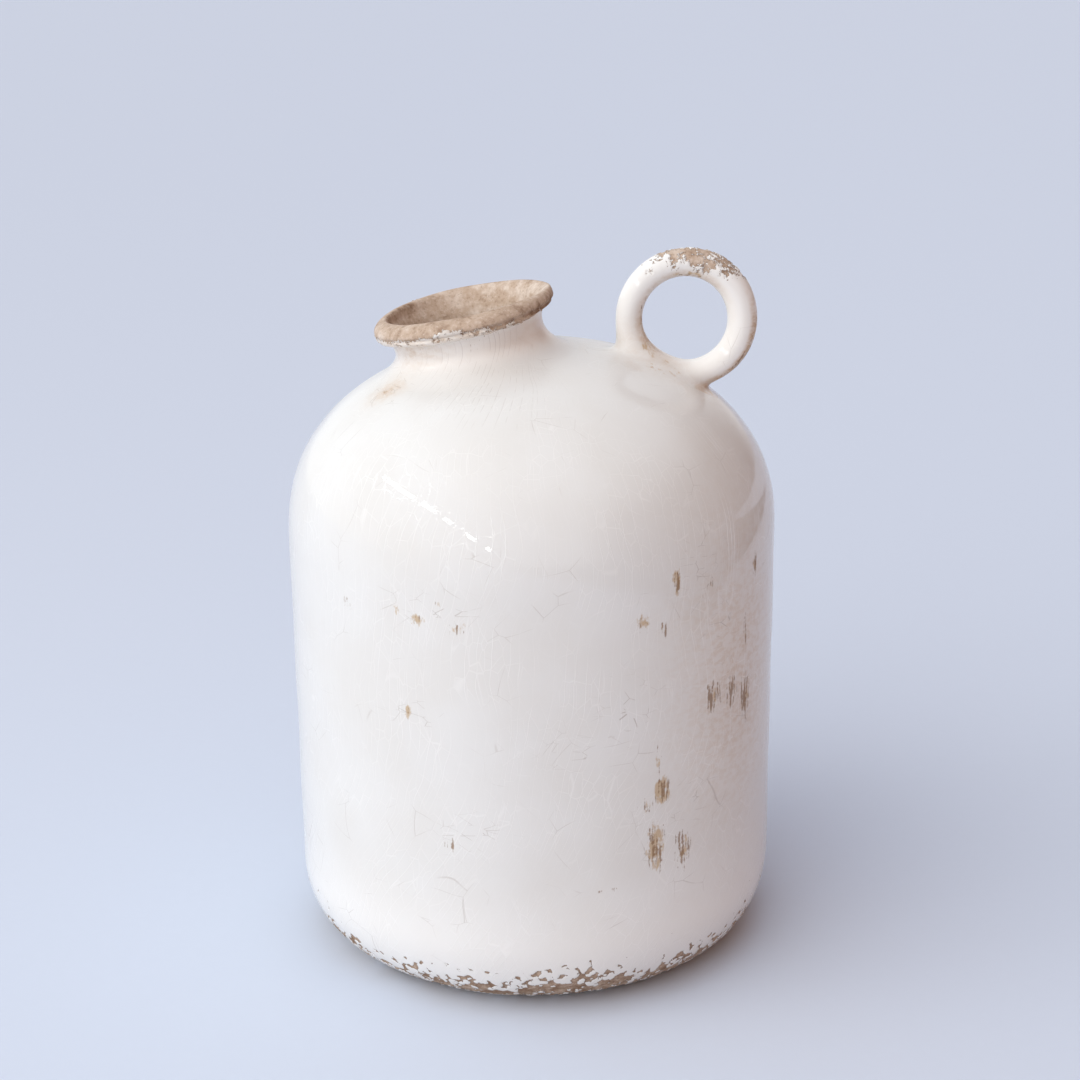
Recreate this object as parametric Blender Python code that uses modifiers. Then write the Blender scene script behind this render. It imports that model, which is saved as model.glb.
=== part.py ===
"""A glazed stoneware vase with a leaning neck and an upright finger ring, as the clay members it is made of."""

from math import asin, atan, cos, hypot, pi, radians, sin, sqrt

import bmesh
import bpy
from mathutils import Matrix, Vector

# Driving dimensions, in metres unless a name says otherwise
CLEARANCE = 0.0003

# Body: a turned wall with a domed shoulder and a rounded foot, both superellipse arcs
BODY_RADIUS = 0.080
BODY_HEIGHT = 0.2001
SHOULDER_HEIGHT = 0.1395
SHOULDER_POWER_ACROSS = 2.16
SHOULDER_POWER_UP = 2.33
FOOT_RADIUS = 0.0578
FOOT_CORNER_HEIGHT = 0.0272
FOOT_CORNER_POWER = 2.17
WALL = 0.005

# Floor: a slab let into the foot ring, its underside clear of the table
FOOT_RING_WIDTH = 0.009
FLOOR_LEDGE = 0.004
FLOOR_RAISE = 0.002
FLOOR_THICKNESS = 0.007
FLOOR_EDGE = 0.0012
FLOOR_SHELF = 0.005
INNER_CORNER_HEIGHT = 0.017

# Neck: a waisted collar on the left of the shoulder, leaning away from the ring
NECK_OFFSET = 0.0187
NECK_LEAN = radians(11.5)
NECK_BORE_RADIUS = 0.0205
NECK_WAIST_RADIUS = 0.0243
NECK_WAIST_HEIGHT = 0.0042
NECK_TOP_WALL = 0.0034

# Neck coil: the hollow sweep of clay worked round the collar's foot
COIL_REACH = 0.0095

# Lip: a thick roll seated on the collar's flat top
LIP_RADIUS = 0.0297
LIP_WIDTH = 0.0050
LIP_HEIGHT = 0.0057
LIP_MIDDLE_HEIGHT = 0.0123
LIP_SEAT_DROP = 0.0020
LIP_OVERHANG = 0.0016

# Ring: an upright torus on the right of the shoulder, sunk a little past its tube's centre line
RING_OFFSET = 0.0436
RING_RADIUS = 0.0182
RING_TUBE_RADIUS = 0.00455
RING_SINK = 0.00117

# Saddle: the hollow sweep of clay worked round the ring's foot, longest on the uphill side
SADDLE_REACH_UPHILL = 0.0060
SADDLE_REACH_DOWNHILL = 0.0018
SADDLE_REACH_ACROSS = 0.0075
SADDLE_RISE = 0.0020
SADDLE_END_RISE = 0.0030

# Both sweeps: the thickness of the foot's edge, and how far they run into what they are cut by
SWEEP_EDGE = 0.0008
SWEEP_OVERLAP = 0.0006
SWEEP_DEPTH = 0.0030

# Fineness of the turned and swept surfaces
BODY_STEPS = 64
NECK_STEPS = 48
RING_STEPS = 56
TUBE_STEPS = 16
SADDLE_STEPS = 40
SHOULDER_POINTS = 11
CORNER_POINTS = 7
LIP_POINTS = 6
SWEEP_POINTS = 5

# Colours from the photo, linear: warm white glaze and bare clay
GLAZE = (0.83, 0.80, 0.76, 1.0)
GLAZE_ROUGHNESS = 0.12
BARE_CLAY = (0.33, 0.23, 0.16, 1.0)
BARE_CLAY_ROUGHNESS = 0.85


# Outlines


def quarter_arc(across, up, power_across, power_up, count):
    """A quarter superellipse from (across, 0) to (0, up)."""
    points = []
    for index in range(count + 1):
        turn = 0.5 * pi * index / count
        out = across * max(cos(turn), 0) ** (2 / power_across)
        rise = up * sin(turn) ** (2 / power_up)
        points.append((out, rise))
    points[-1] = (0, up)
    return points


def shoulder_height(out):
    """The height of the shoulder's outer surface at a distance from the axis."""
    share = 1 - (out / BODY_RADIUS) ** SHOULDER_POWER_ACROSS
    return SHOULDER_HEIGHT + (BODY_HEIGHT - SHOULDER_HEIGHT) * share ** (1 / SHOULDER_POWER_UP)


def shoulder_tilt(out):
    """The angle from straight up to the shoulder's normal at a distance from the axis."""
    step = 0.01 * WALL
    fall = shoulder_height(out - step) - shoulder_height(out + step)
    return atan(fall / (2 * step))


def shoulder_arc(grow):
    """The shoulder from its top on the axis down to the wall, grown outward."""
    rise = BODY_HEIGHT + grow - SHOULDER_HEIGHT
    powers = (SHOULDER_POWER_ACROSS, SHOULDER_POWER_UP)
    arc = quarter_arc(BODY_RADIUS + grow, rise, *powers, SHOULDER_POINTS)
    return [(out, SHOULDER_HEIGHT + up) for out, up in reversed(arc)]


def corner_arc(inner, outer, bottom, height):
    """The rounded corner at the foot, from the wall down to its inner end."""
    arc = quarter_arc(outer - inner, height, FOOT_CORNER_POWER, FOOT_CORNER_POWER, CORNER_POINTS)
    return [(inner + out, bottom + height - up) for out, up in arc]


def floor_seat():
    """The radius of the seat that the floor slab drops into."""
    return FOOT_RADIUS - FOOT_RING_WIDTH + FLOOR_LEDGE


def floor_levels():
    """The heights of the slab's underside and top."""
    low = FLOOR_RAISE + CLEARANCE
    return low, low + FLOOR_THICKNESS


def body_profile():
    """The wall's section: down the outside, across the foot ring and up the inside."""
    ring_inner = FOOT_RADIUS - FOOT_RING_WIDTH
    top = floor_levels()[1]
    outside = shoulder_arc(0) + corner_arc(FOOT_RADIUS, BODY_RADIUS, 0, FOOT_CORNER_HEIGHT)
    foot = [(ring_inner, 0), (ring_inner, FLOOR_RAISE), (floor_seat(), FLOOR_RAISE), (floor_seat(), top)]
    corner = corner_arc(floor_seat() + FLOOR_SHELF, BODY_RADIUS - WALL, top, INNER_CORNER_HEIGHT)
    return outside + foot + corner[::-1] + shoulder_arc(-WALL)[::-1]


def body_outside():
    """The body's outer form with the clearance added, which its neighbours are cut to."""
    return shoulder_arc(CLEARANCE) + [(BODY_RADIUS + CLEARANCE, 0), (0, 0)]


def floor_profile():
    """The slab's section, its rim chamfered."""
    radius = floor_seat() - CLEARANCE
    low, high = floor_levels()
    edge = radius - FLOOR_EDGE
    rim = [(edge, high), (radius, high - FLOOR_EDGE), (radius, low + FLOOR_EDGE), (edge, low)]
    return [(0, high)] + rim + [(0, low)]


def neck_depth():
    """How far the neck's pieces and its hole run below the shoulder before they are cut."""
    return NECK_WAIST_RADIUS


def plug_profile(radius):
    """A plain cylinder through the shoulder, to cut a hole with."""
    depth = neck_depth()
    return [(0, depth), (radius, depth), (radius, -depth), (0, -depth)]


def collar_profile():
    """The collar's section: flared to a flat top, waisted outside, with a straight bore."""
    rise = LIP_MIDDLE_HEIGHT - LIP_SEAT_DROP - CLEARANCE - NECK_WAIST_HEIGHT
    top_outer = LIP_RADIUS - LIP_OVERHANG
    top_inner = top_outer - NECK_TOP_WALL
    outside = quarter_arc(top_outer - NECK_WAIST_RADIUS, rise, 2, 2, SWEEP_POINTS)
    inside = quarter_arc(top_inner - NECK_BORE_RADIUS, rise, 2, 2, SWEEP_POINTS)
    section = [(top_outer - out, NECK_WAIST_HEIGHT + up) for out, up in reversed(outside)]
    section += [(NECK_WAIST_RADIUS, -neck_depth()), (NECK_BORE_RADIUS, -neck_depth())]
    section += [(top_inner - out, NECK_WAIST_HEIGHT + up) for out, up in inside]
    return section


def lip_profile():
    """The lip's section: a rounded roll with its underside cut flat for the seat."""
    middle = LIP_RADIUS - 0.5 * LIP_WIDTH
    seat_turn = asin(LIP_SEAT_DROP / (0.5 * LIP_HEIGHT))
    section = []
    for index in range(2 * LIP_POINTS + 1):
        turn = -seat_turn + (pi + 2 * seat_turn) * (1 - index / (2 * LIP_POINTS))
        section.append((middle + 0.5 * LIP_WIDTH * cos(turn), LIP_MIDDLE_HEIGHT + 0.5 * LIP_HEIGHT * sin(turn)))
    return section


# Building


def clear_scene():
    for obj in list(bpy.data.objects):
        bpy.data.objects.remove(obj)


def new_collection(name):
    collection = bpy.data.collections.new(name)
    bpy.context.scene.collection.children.link(collection)
    return collection


def finish(obj, colour, roughness):
    """Gives a piece its own plain material."""
    surface = bpy.data.materials.new(obj.name)
    surface.use_nodes = True
    shader = surface.node_tree.nodes["Principled BSDF"]
    shader.inputs["Base Color"].default_value = colour
    shader.inputs["Roughness"].default_value = roughness
    obj.data.materials.append(surface)


def new_frame(name, collection, offset, tilt):
    """An empty on the shoulder that carries the pieces standing there, tilted towards +X."""
    empty = bpy.data.objects.new(name, None)
    place = Matrix.Translation((offset, 0, shoulder_height(abs(offset))))
    empty.matrix_world = place @ Matrix.Rotation(tilt, 4, "Y")
    collection.objects.link(empty)
    return empty


def new_object(name, shape, collection, parent):
    mesh = bpy.data.meshes.new(name)
    shape.to_mesh(mesh)
    shape.free()
    mesh.shade_smooth()
    obj = bpy.data.objects.new(name, mesh)
    obj.parent = parent
    collection.objects.link(obj)
    return obj


def turned(name, profile, steps, collection, parent=None):
    """A profile of (radius, height) points turned about Z; one that ends off the axis is closed."""
    shape = bmesh.new()
    row = [shape.verts.new((out, 0, up)) for out, up in profile]
    for here, after in zip(row, row[1:]):
        shape.edges.new((here, after))
    if profile[0][0] > 0:
        shape.edges.new((row[-1], row[0]))
    obj = new_object(name, shape, collection, parent)
    screw = obj.modifiers.new("Turn", "SCREW")
    screw.steps = steps
    screw.render_steps = steps
    screw.use_merge_vertices = True
    screw.merge_threshold = 0.00001
    return obj


def torus(name, tube_radius, collection, parent):
    """The upright ring, its lowest tube centre sunk below the parent's origin."""
    bpy.ops.mesh.primitive_torus_add(
        major_radius=RING_RADIUS,
        minor_radius=tube_radius,
        major_segments=RING_STEPS,
        minor_segments=TUBE_STEPS,
        location=(0, 0, RING_RADIUS - RING_SINK),
        rotation=(0.5 * pi, 0, 0),
    )
    obj = bpy.context.object
    obj.name = name
    obj.data.shade_smooth()
    for held in list(obj.users_collection):
        held.objects.unlink(obj)
    obj.parent = parent
    collection.objects.link(obj)
    return obj


def shoulder_under(parent, along, across):
    """The shoulder's height in a tilted frame, at a point of the frame's own plane."""
    height = 0
    for _ in range(20):
        point = parent.matrix_world @ Vector((along, across, height))
        height -= point.z - shoulder_height(hypot(point.x, point.y))
    return height


def swept_foot(name, top, foot, rise, steps, collection, parent):
    """A hollow sweep from the shoulder up to a piece that stands on it.

    top and foot each give an oval's middle along X, its half length and its half width,
    and rise gives the top's height at a distance along X.
    """
    sections = []
    for level in range(-1, 2 * SWEEP_POINTS + 1):
        turn = 0.5 * pi * max(level, 0) / (2 * SWEEP_POINTS)
        middle, half_length, half_width = [low + (high - low) * sin(turn) for low, high in zip(foot, top)]
        section = []
        for index in range(steps):
            angle = 2 * pi * (index + 0.5) / steps
            along = middle + half_length * cos(angle)
            across = half_width * sin(angle)
            ground = shoulder_under(parent, along, across)
            lift = SWEEP_EDGE + (1 - cos(turn)) * (rise(along) - ground - SWEEP_EDGE)
            if level < 0:
                lift = -SWEEP_DEPTH
            section.append((along, across, ground + lift))
        sections.append(section)
    return lofted(name, sections, collection, parent)


def lofted(name, sections, collection, parent):
    """A closed skin over rings of points, capped at both ends."""
    shape = bmesh.new()
    rings = [[shape.verts.new(point) for point in section] for section in sections]
    for low, high in zip(rings, rings[1:]):
        for index in range(len(low)):
            after = index - 1
            shape.faces.new((low[after], low[index], high[index], high[after]))
    shape.faces.new(rings[0][::-1])
    shape.faces.new(rings[-1])
    return new_object(name, shape, collection, parent)


def cut(obj, *cutters):
    for cutter in cutters:
        boolean = obj.modifiers.new("Cut by " + cutter.name, "BOOLEAN")
        boolean.operation = "DIFFERENCE"
        boolean.solver = "EXACT"
        boolean.object = cutter


def coil_ovals():
    """The top and the foot of the neck's coil, as middle, half length and half width."""
    top = NECK_WAIST_RADIUS - SWEEP_OVERLAP
    foot = NECK_WAIST_RADIUS + COIL_REACH
    return (0, top, top), (0, foot, foot)


def saddle_ovals():
    """The top and the foot of the ring's saddle, from the ring's own section at those heights."""
    outer = RING_RADIUS + RING_TUBE_RADIUS
    centre = RING_RADIUS - RING_SINK
    top_length = sqrt(outer**2 - (centre - SADDLE_END_RISE) ** 2) - SWEEP_OVERLAP
    top_width = sqrt(RING_TUBE_RADIUS**2 - (RING_SINK + SADDLE_RISE) ** 2) - SWEEP_OVERLAP
    ring_length = sqrt(outer**2 - centre**2)
    ring_width = sqrt(RING_TUBE_RADIUS**2 - RING_SINK**2)
    middle = 0.5 * (SADDLE_REACH_DOWNHILL - SADDLE_REACH_UPHILL)
    foot_length = ring_length + 0.5 * (SADDLE_REACH_DOWNHILL + SADDLE_REACH_UPHILL)
    return (0, top_length, top_width), (middle, foot_length, ring_width + SADDLE_REACH_ACROSS)


def main():
    clear_scene()
    parts = new_collection("handled_vase")
    cutters = new_collection("cutters")
    neck = new_frame("neck_frame", parts, -NECK_OFFSET, -NECK_LEAN)
    ring = new_frame("ring_frame", parts, RING_OFFSET, shoulder_tilt(RING_OFFSET))

    # Cutters: the shoulder, the neck's bore, the collar's waist and the ring
    body_form = turned("body_form", body_outside(), BODY_STEPS, cutters)
    bore_form = turned("bore_form", plug_profile(NECK_BORE_RADIUS), NECK_STEPS, cutters, neck)
    waist_form = turned("waist_form", plug_profile(NECK_WAIST_RADIUS + CLEARANCE), NECK_STEPS, cutters, neck)
    ring_form = torus("ring_form", RING_TUBE_RADIUS + CLEARANCE, cutters, ring)

    # Body and floor
    body_wall = turned("body_wall", body_profile(), BODY_STEPS, parts)
    cut(body_wall, bore_form)
    floor_disc = turned("floor_disc", floor_profile(), BODY_STEPS, parts)

    # Neck, its coil and its lip
    neck_collar = turned("neck_collar", collar_profile(), NECK_STEPS, parts, neck)
    cut(neck_collar, body_form)
    neck_coil = swept_foot("neck_coil", *coil_ovals(), lambda _: NECK_WAIST_HEIGHT, NECK_STEPS, parts, neck)
    cut(neck_coil, body_form, waist_form)
    rim_roll = turned("rim_roll", lip_profile(), NECK_STEPS, parts, neck)

    # Ring and its saddle
    handle_ring = torus("handle_ring", RING_TUBE_RADIUS, parts, ring)
    cut(handle_ring, body_form)
    saddle_top, saddle_foot = saddle_ovals()

    def saddle_rise(along):
        return SADDLE_RISE + (SADDLE_END_RISE - SADDLE_RISE) * (along / saddle_top[1]) ** 2

    handle_saddle = swept_foot("handle_saddle", saddle_top, saddle_foot, saddle_rise, SADDLE_STEPS, parts, ring)
    cut(handle_saddle, body_form, ring_form)

    for piece in (body_wall, neck_collar, neck_coil, handle_ring, handle_saddle):
        finish(piece, GLAZE, GLAZE_ROUGHNESS)
    for piece in (floor_disc, rim_roll):
        finish(piece, BARE_CLAY, BARE_CLAY_ROUGHNESS)
    for cutter in cutters.objects:
        cutter.hide_render = True
        cutter.display_type = "WIRE"


main()
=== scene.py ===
"""The looks of the handled vase: crackled white glaze on stoneware, worn at the foot, lip and ring."""

from math import cos, pi, radians, sin

import bpy
import numpy as np
import openvdb
from mathutils import Matrix, Vector


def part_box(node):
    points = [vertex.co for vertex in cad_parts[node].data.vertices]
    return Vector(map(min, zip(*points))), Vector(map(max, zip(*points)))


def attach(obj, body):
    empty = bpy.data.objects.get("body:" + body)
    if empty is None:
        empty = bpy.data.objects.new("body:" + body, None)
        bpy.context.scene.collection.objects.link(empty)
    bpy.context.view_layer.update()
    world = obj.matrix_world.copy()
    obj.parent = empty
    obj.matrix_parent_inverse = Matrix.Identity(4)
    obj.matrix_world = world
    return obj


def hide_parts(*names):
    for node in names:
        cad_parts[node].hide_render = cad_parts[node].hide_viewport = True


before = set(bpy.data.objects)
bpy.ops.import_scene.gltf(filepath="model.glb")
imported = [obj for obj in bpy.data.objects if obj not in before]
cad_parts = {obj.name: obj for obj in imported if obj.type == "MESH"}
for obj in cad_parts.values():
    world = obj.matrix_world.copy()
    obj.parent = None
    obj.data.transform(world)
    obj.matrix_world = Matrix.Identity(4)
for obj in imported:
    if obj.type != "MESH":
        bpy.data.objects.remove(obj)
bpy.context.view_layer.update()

# Body, in metres as everywhere here: the wall, its domed shoulder and its rounded foot
BODY_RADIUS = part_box("body_wall")[1].x
BODY_HEIGHT = 0.2001
SHOULDER_HEIGHT = 0.1395
SHOULDER_POWER_ACROSS = 2.16
SHOULDER_POWER_UP = 2.33
FOOT_RADIUS = 0.0578
FOOT_CORNER_HEIGHT = 0.0272
FOOT_CORNER_POWER = 2.17
WALL = 0.005
FOOT_RING_INNER = 0.0488
FLOOR_RAISE = 0.002
FLOOR_TOP = 0.0093
FLOOR_SEAT = 0.0528
INNER_CORNER_OUT = 0.0578
INNER_CORNER_HEIGHT = 0.017
FLOOR_EDGE = 0.0012
JOINT_GAP = 0.0003

# Neck and lip, in a frame on the shoulder that leans away from the ring
NECK_OFFSET = 0.0187
NECK_LEAN = radians(11.5)
NECK_BORE = 0.0205
NECK_WAIST = 0.0243
NECK_WAIST_HEIGHT = 0.0042
NECK_TOP_OUTER = 0.0281
NECK_SWEEP = 0.0095
FUNNEL_TOP = 0.02345
FUNNEL_POWER = 1.5
NECK_HOLE = 0.0227
NECK_TUBE = 0.0232
LIP_RADIUS = 0.0297
LIP_WIDTH = 0.005
LIP_MIDDLE = 0.0123
LIP_SEAT_DROP = 0.002

# The lip's section in millimetres from its middle, up the inside, over the top and down the outside.
# It is a thick roll in front and on the low side, and thins to a flared edge on the high side.
LIP_INSIDE = ((-5.86, -4.8), (-5.48, -3.6), (-4.99, -2.4), (-4.41, -1.2), (-3.78, 0))
LIP_THICK = LIP_INSIDE + (
    (-3.5, 1.4), (-3.25, 2.5), (-2.8, 3.25), (-2, 3.6), (-0.6, 3.35), (0.9, 2.6), (2, 1.4), (2.5, 0.2),
    (2.42, -0.9), (2.3, -1.5), (2.15, -2.1), (1.75, -2.8), (0.7, -3), (-1.2, -2.8), (-5.2, -5.3),
)
LIP_THIN = LIP_INSIDE + (
    (-2.9, 0.75), (-1.9, 1.45), (-0.8, 2.1), (0.2, 2.6), (1.2, 2.9), (1.9, 2.6), (2.35, 1.6), (2.5, 0.3),
    (2.45, -0.3), (2.38, -0.75), (2.2, -1.2), (1.75, -1.65), (0.8, -1.95), (-1.2, -2.5), (-5.2, -5.3),
)
LIP_GROOVE = 0.0006

# The lip's unevenness: how far each wave goes, how many go round, and its shift
LIP_FATNESS = ((0.03, 3, 0.8), (0.02, 7, 2))
LIP_DRIPS = ((0.00009, 11, 1), (0.00009, 19, 4), (0.00009, 31, 0))

# Finger ring, in a frame square to the shoulder
RING_OFFSET = 0.0436
RING_TILT = radians(22.56)
RING_RADIUS = 0.0182
RING_TUBE = 0.00455
RING_SINK = 0.00117
RING_SWELL = 0.0003
RING_SWELL_TURN = radians(45)
FILLET_UPHILL = 0.0125
FILLET_DOWNHILL = 0.006

# How the pieces that stand on the shoulder tuck under its surface
SKIRT = 0.004
SKIRT_SINK = 0.000004
TUCK = 0.0006

# Fineness
BODY_COLUMNS = 480
BODY_STEP = 0.0011
FOOT_STEP = 0.0005
NECK_COLUMNS = 420
BORE_RINGS = 14
FUNNEL_RINGS = 22
SWEEP_RINGS = 26
SKIRT_RINGS = 7
LIP_COLUMNS = 640
LIP_STEPS = 5
RING_PITCH = 0.00035
ARC_POINTS = 3000

# Hand-made unevenness, the same field for every piece
WOBBLE = 0.00016
WOBBLE_LENGTH = 0.075

# Chips through the glaze
CHIP_DEPTH = 0.00035
CHIP_SIZE = 0.0036
CHIP_CONTRAST = 3.8
BEAD_SIZE = 0.0024
BEAD_CONTRAST = 2.2
BEADS_END = (0.02, 0.06)
FLAKE_SIZE = 0.001
FLAKE_CONTRAST = 4.2
CHIP_EDGE = 0.1
CHIP_GRAIN = 0.0011
GLAZED = -2.6
BARE = 1.5

# The bare foot: how high it reaches, how softly it ends and how bare it is, with waves like the lip's
FOOT_BARE_HEIGHT = 0.0082
FOOT_BARE_FADE = 0.0075
FOOT_BARE_MOST = 0.45
FOOT_FLAT = 0.0006
FOOT_WAVES = ((0.0016, 5, radians(60)), (0.001, 11, 0), (0.0008, 23, radians(90)))

# Where the bare foot reaches higher: by how much, and the degrees round and half width
FOOT_RISES = ((0.003, 12, 28), (0.0015, 50, 20), (0.0045, 66, 16), (0.003, -70, 15), (0.0015, 180, 60))

# The ring's bare top. The ring leans, so its top as it stands is a little past its frame's own.
RING_BARE_TURN = radians(101)
RING_BARE_FROM = RING_RADIUS - 0.0001
RING_BARE_FADE = 0.0034
RING_BARE_MOST = 0.55

# Parts of the ring: degrees round it from the downhill side, and half width
RING_SHARD = (150, 11)
RING_EDGE = (62, 12)
RING_LEFT = (205, 60)
RING_CROWN = (105, 45)
RING_OUTER = (-14, 48)

# Sizes of the glaze's clouds and stains, and of the noise that bends and breaks its hairlines
CLOUD_SIZE = 0.03
BLOTCH_SIZE = 0.0034
RIPPLE_SIZE = 0.009
WARP_SIZE = 0.03
WARP_SHIFT = 0.01
UNEVEN_SIZE = 0.018
BREAK_SIZE = 0.016
STROKE_SIZE = 0.0045
DRIP_BREAK_SIZE = 0.003

# Hairlines: the size of their cells or their spacing, and their width
NET = (0.004, 0.00016)
FLOW = (0.0036, 0.00018)
LADDER = (0.0022, 0.00026)
DRIP = (0.0046, 0.00036)
CRACK = (0.012, 0.00014)
SCRATCH = (0.008, 0.00015)
CRACKLE_TOP = (0.202, 0.212)

# Sizes of the clay's mottle and grain, and of the grain of rubbed places
MOTTLE_SIZE = 0.0045
FLECK_SIZE = 0.0011
GRAIN_SIZE = 0.0007
THREAD_SIZE = 0.0008
DOT_SIZE = 0.0012
SPECK_SIZE = 0.0024

# How far each mark covers what lies under it
PALE_SHARE = 0.44
DARK_SHARE = 0.33
FILL_SHARE = 0.75
LINE_SHARE = 0.8
RIM_SHARE = 0.7

# Gloss and fine relief
GLAZE_ROUGHNESS = 0.02
CLAY_ROUGHNESS = 0.82
DULL_ROUGHNESS = 0.26
GLAZE_INDEX = 1.52
RELIEF_DEPTH = 0.00022
RELIEF_STRENGTH = 0.6

# Colours, linear
GLAZE = (0.765, 0.75, 0.725, 1)
GLAZE_SHADE = (0.74, 0.718, 0.685, 1)
# Glaze painted whiter as painted light: up the neck, up the ring and low on the wall
GLAZE_PAINTED_LIGHT = (0.92, 0.89, 0.85, 1)
CRACK_PALE = (0.97, 0.955, 0.93, 1)
CRACK_DARK = (0.36, 0.29, 0.24, 1)
# Colour of stains, and of the painted warm shade on the right of the wall and neck
STAIN_AND_PAINTED_SHADE = (0.58, 0.4, 0.25, 1)
SCUFF_FILL = (0.5, 0.33, 0.155, 1)
SCUFF_LINE = (0.24, 0.125, 0.05, 1)
CLAY_CREAM = (0.72, 0.61, 0.52, 1)
CLAY_TAN = (0.52, 0.388, 0.29, 1)
CLAY_BROWN = (0.23, 0.13, 0.072, 1)
CHIP_RIM = (0.2, 0.125, 0.075, 1)

# Worn places on the wall: degrees round from the front, height, half width and half height in millimetres,
# then how far the tan fill and the brown lines show
WORN_PLACES = (
    (-30.5, 135.5, 1.6, 2.4, 0.55, 0.2),
    (-25.5, 132.5, 4, 2.6, 0.32, -0.1),
    (-20.5, 138.5, 4.2, 1.3, 0.15, 0.15),
    (-15.5, 131, 4.5, 3.6, -0.1, 0.1),
    (-28.5, 102, 2, 3.6, 0.22, 0.1),
    (-45, 133, 4, 3, -0.2, 0.05),
    (33, 142, 2, 5, 0.65, 0.35),
    (43, 138, 1.6, 3.2, 0.1, 0.6),
    (24.5, 131, 3, 4.5, 0.25, 0.25),
    (29.5, 128, 2.2, 3, 0.35, 0.5),
    (56.5, 118, 1.4, 6, 0.1, 0.65),
    (44, 101, 4.4, 6.5, 0, 0.4),
    (51, 100.5, 3.2, 6.5, 0.12, 0.62),
    (57, 95, 4, 8.5, 0.35, 0.6),
    (28.5, 85, 2, 6, -0.1, 0.25),
    (29.5, 75, 3.4, 4.6, 0.85, 0.45),
    (25.5, 71, 3.2, 4, 0.05, 0.35),
    (28, 56, 3.8, 10, 0.55, 0.35),
    (35.5, 53, 4.4, 8, 0.15, 0.5),
    (-18.5, 60, 5, 3, -0.3, 0.05),
    (17, 44.5, 6, 1.2, -0.3, 0.15),
    (61, 138, 2, 5, 0.2, 0.4),
)
HIDDEN_WORN_PLACES = 14

# Scratched places on the wall, by the first four of these measures
SCRATCHED_PLACES = (
    (-22, 136, 13, 5),
    (-27, 102, 8, 6),
    (-14, 64, 11, 6),
    (8, 92, 8, 5),
    (22, 104, 10, 10),
    (40, 146, 9, 10),
    (47, 122, 8, 10),
    (38, 68, 9, 8),
    (150, 110, 12, 8),
    (215, 75, 14, 7),
)

# The stained, scratched spot on the shoulder left of the neck: its middle and its reach each way
SPOT_PLACE = (-0.045, -0.0195, 0.19)
SPOT_REACH = (0.007, 0.0055, 0.0045)

# Soft patches: how strong, the degrees round and half width, then the height and half height
# The first is a painted warm shade on the right side of the wall, added to the stains
SIDE_PAINTED_SHADE = (0.6, 55, 19, 0.105, 0.044)
CRAZED_PLACES = ((2, 50.5, 2.6, 0.15, 0.011), (3, 58, 4, 0.176, 0.006))
NECK_RUB = (2.9, -35, 24, LIP_MIDDLE - 0.0048, 0.0018)
LIP_PATCH = (1, -7, 8, LIP_MIDDLE + 0.0003, 0.0011)
LIP_RUST = (1, 6, 8, LIP_MIDDLE - 0.0004, 0.0014)

# The stain round the ring's foot, as its strength and its reach each way in the ring's frame
SADDLE_STAIN = 0.3
SADDLE_REACH = (0.026, 0.015, 0.012)

# The tone of bare clay, from 0 for cream to 1 for brown
FOOT_TONE = 0.72
FLOOR_TONE = 0.45
MOUTH_TONES = (0.37, 0.8)

# Camera, found from the photo's outline
CAMERA_PLACE = (0.0026, -0.64745, 0.34473)
CAMERA_RIGHT = (0.9999, -0.0034, -0.0103)
CAMERA_UP = (0.0108, 0.3096, 0.9508)
CAMERA_LENS = 68.33
CAMERA_SENSOR = 36

# The floor's reach each way, and where the room's own floor begins on the right
GROUND_REACH = 12
PAPER_EDGE = 0.447
PAPER_EDGE_SLOPE = -0.24
PAPER_BACK = 0.9

# Light and surroundings: a soft window at the front left, a pale room and a warm dim right side
WINDOW_HEADING = (-52, 32)
WINDOW_CORE = radians(14)
WINDOW_EDGE = radians(54)
WINDOW = (2.14, 2.15, 2.14, 1)
ROOM_LEFT = (0.62, 0.63, 0.66, 1)
ROOM_RIGHT = (0.37, 0.145, 0.03, 1)
CEILING = (0.8, 0.945, 1.12, 1)
BACKDROP = (0.605, 0.645, 0.745, 1)
PAPER = (0.655, 0.708, 0.812, 1)
ROOM_FLOOR = (0.13, 0.09, 0.065, 1)
MIRROR_FRONT = (0.78, 0.78, 0.79, 1)
MIRROR_BACK = (1, 1.01, 1.03, 1)
MIRROR_HIGH = (1.2, 1.28, 1.34, 1)
MIRROR_BROWN = (0.14, 0.075, 0.04, 1)
DASH_POINT = (-0.03, -0.06, 0.165)
DASH_DISTANCE = 1.1
DASH_WIDTH = 0.042
DASH_RADIANCE = 14

# The bright dashes in the shoulder's gloss: each one's two ends, as degrees round from the front and up
DASHES = (
    ((-92, 35), (-66, 33.5)),
    ((-60, 32), (-50, 28.5)),
    ((-45, 26.5), (-40, 23.5)),
    ((-32, 18.5), (-25, 14.5)),
    ((-19.5, 10.5), (-17, 8.5)),
)

# Small lamps that glint in the right of the shoulder, as degrees round and up from it
GLINT_POINT = (0.046, -0.055, 0.168)
GLINT_SIZE = 0.012
GLINTS = ((84.5, 14.5), (89.5, 15.5), (80, 12))


# Outlines


def quarter_arc(across, up, power_across=2, power_up=2):
    """A quarter superellipse from (across, 0) to (0, up)."""
    turn = np.linspace(0, 0.5 * pi, ARC_POINTS)
    out = across * np.clip(np.cos(turn), 0, 1) ** (2 / power_across)
    return np.column_stack([out, up * np.sin(turn) ** (2 / power_up)])


def evenly(points, step):
    """Points at an even step along a line of points."""
    runs = np.concatenate([[0], np.cumsum(np.linalg.norm(np.diff(points, axis=0), axis=1))])
    marks = np.linspace(0, runs[-1], max(int(np.ceil(runs[-1] / step)), 1) + 1)
    return np.column_stack([np.interp(marks, runs, points[:, axis]) for axis in (0, 1)])


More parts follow.
